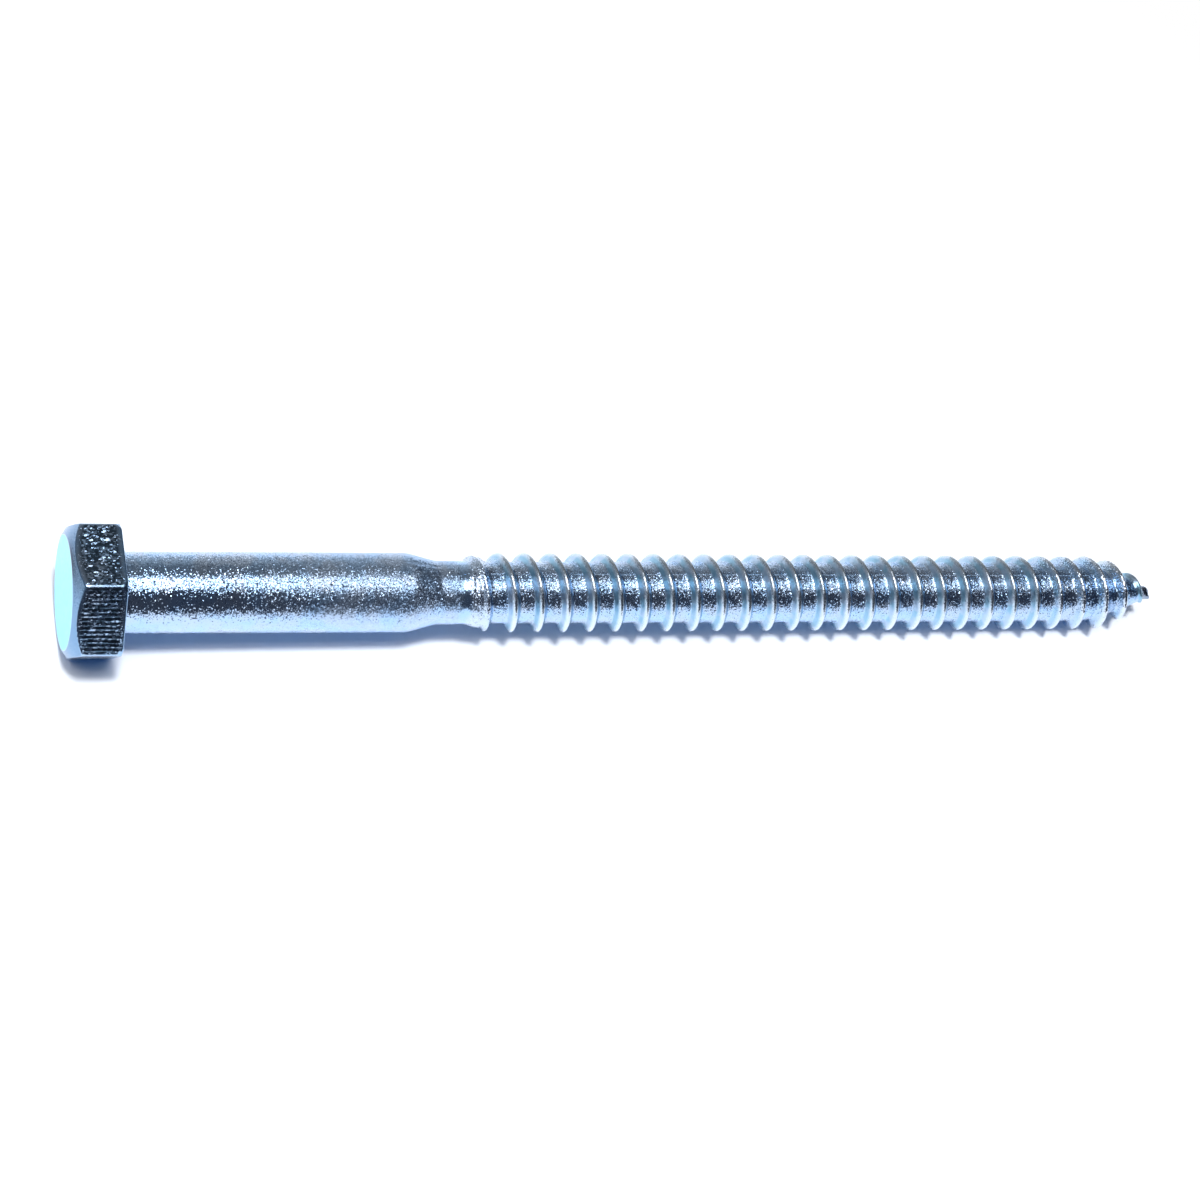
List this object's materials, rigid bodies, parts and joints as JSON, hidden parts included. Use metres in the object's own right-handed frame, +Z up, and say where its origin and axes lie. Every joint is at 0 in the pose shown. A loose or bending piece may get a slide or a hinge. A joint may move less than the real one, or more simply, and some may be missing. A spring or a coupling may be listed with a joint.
{
  "type": "lag screw",
  "caption": "Hex head wood screw with a plain shank, a waisted neck, a coarse right-hand thread and a sharp point, lying on its side.",
  "frame": {"origin": "centre of the head's bearing face, on the screw's axis", "axes": "+X along the screw from head to point, dipping 1.2 degrees as the screw lies; +Z up from the table"},
  "size_m": [0.1194, 0.0146, 0.0127],
  "materials": {
    "zinc_steel": "gloss"
  },
  "bodies": {
    "root": {"lag_screw": "zinc_steel"}
  },
  "joints": []
}
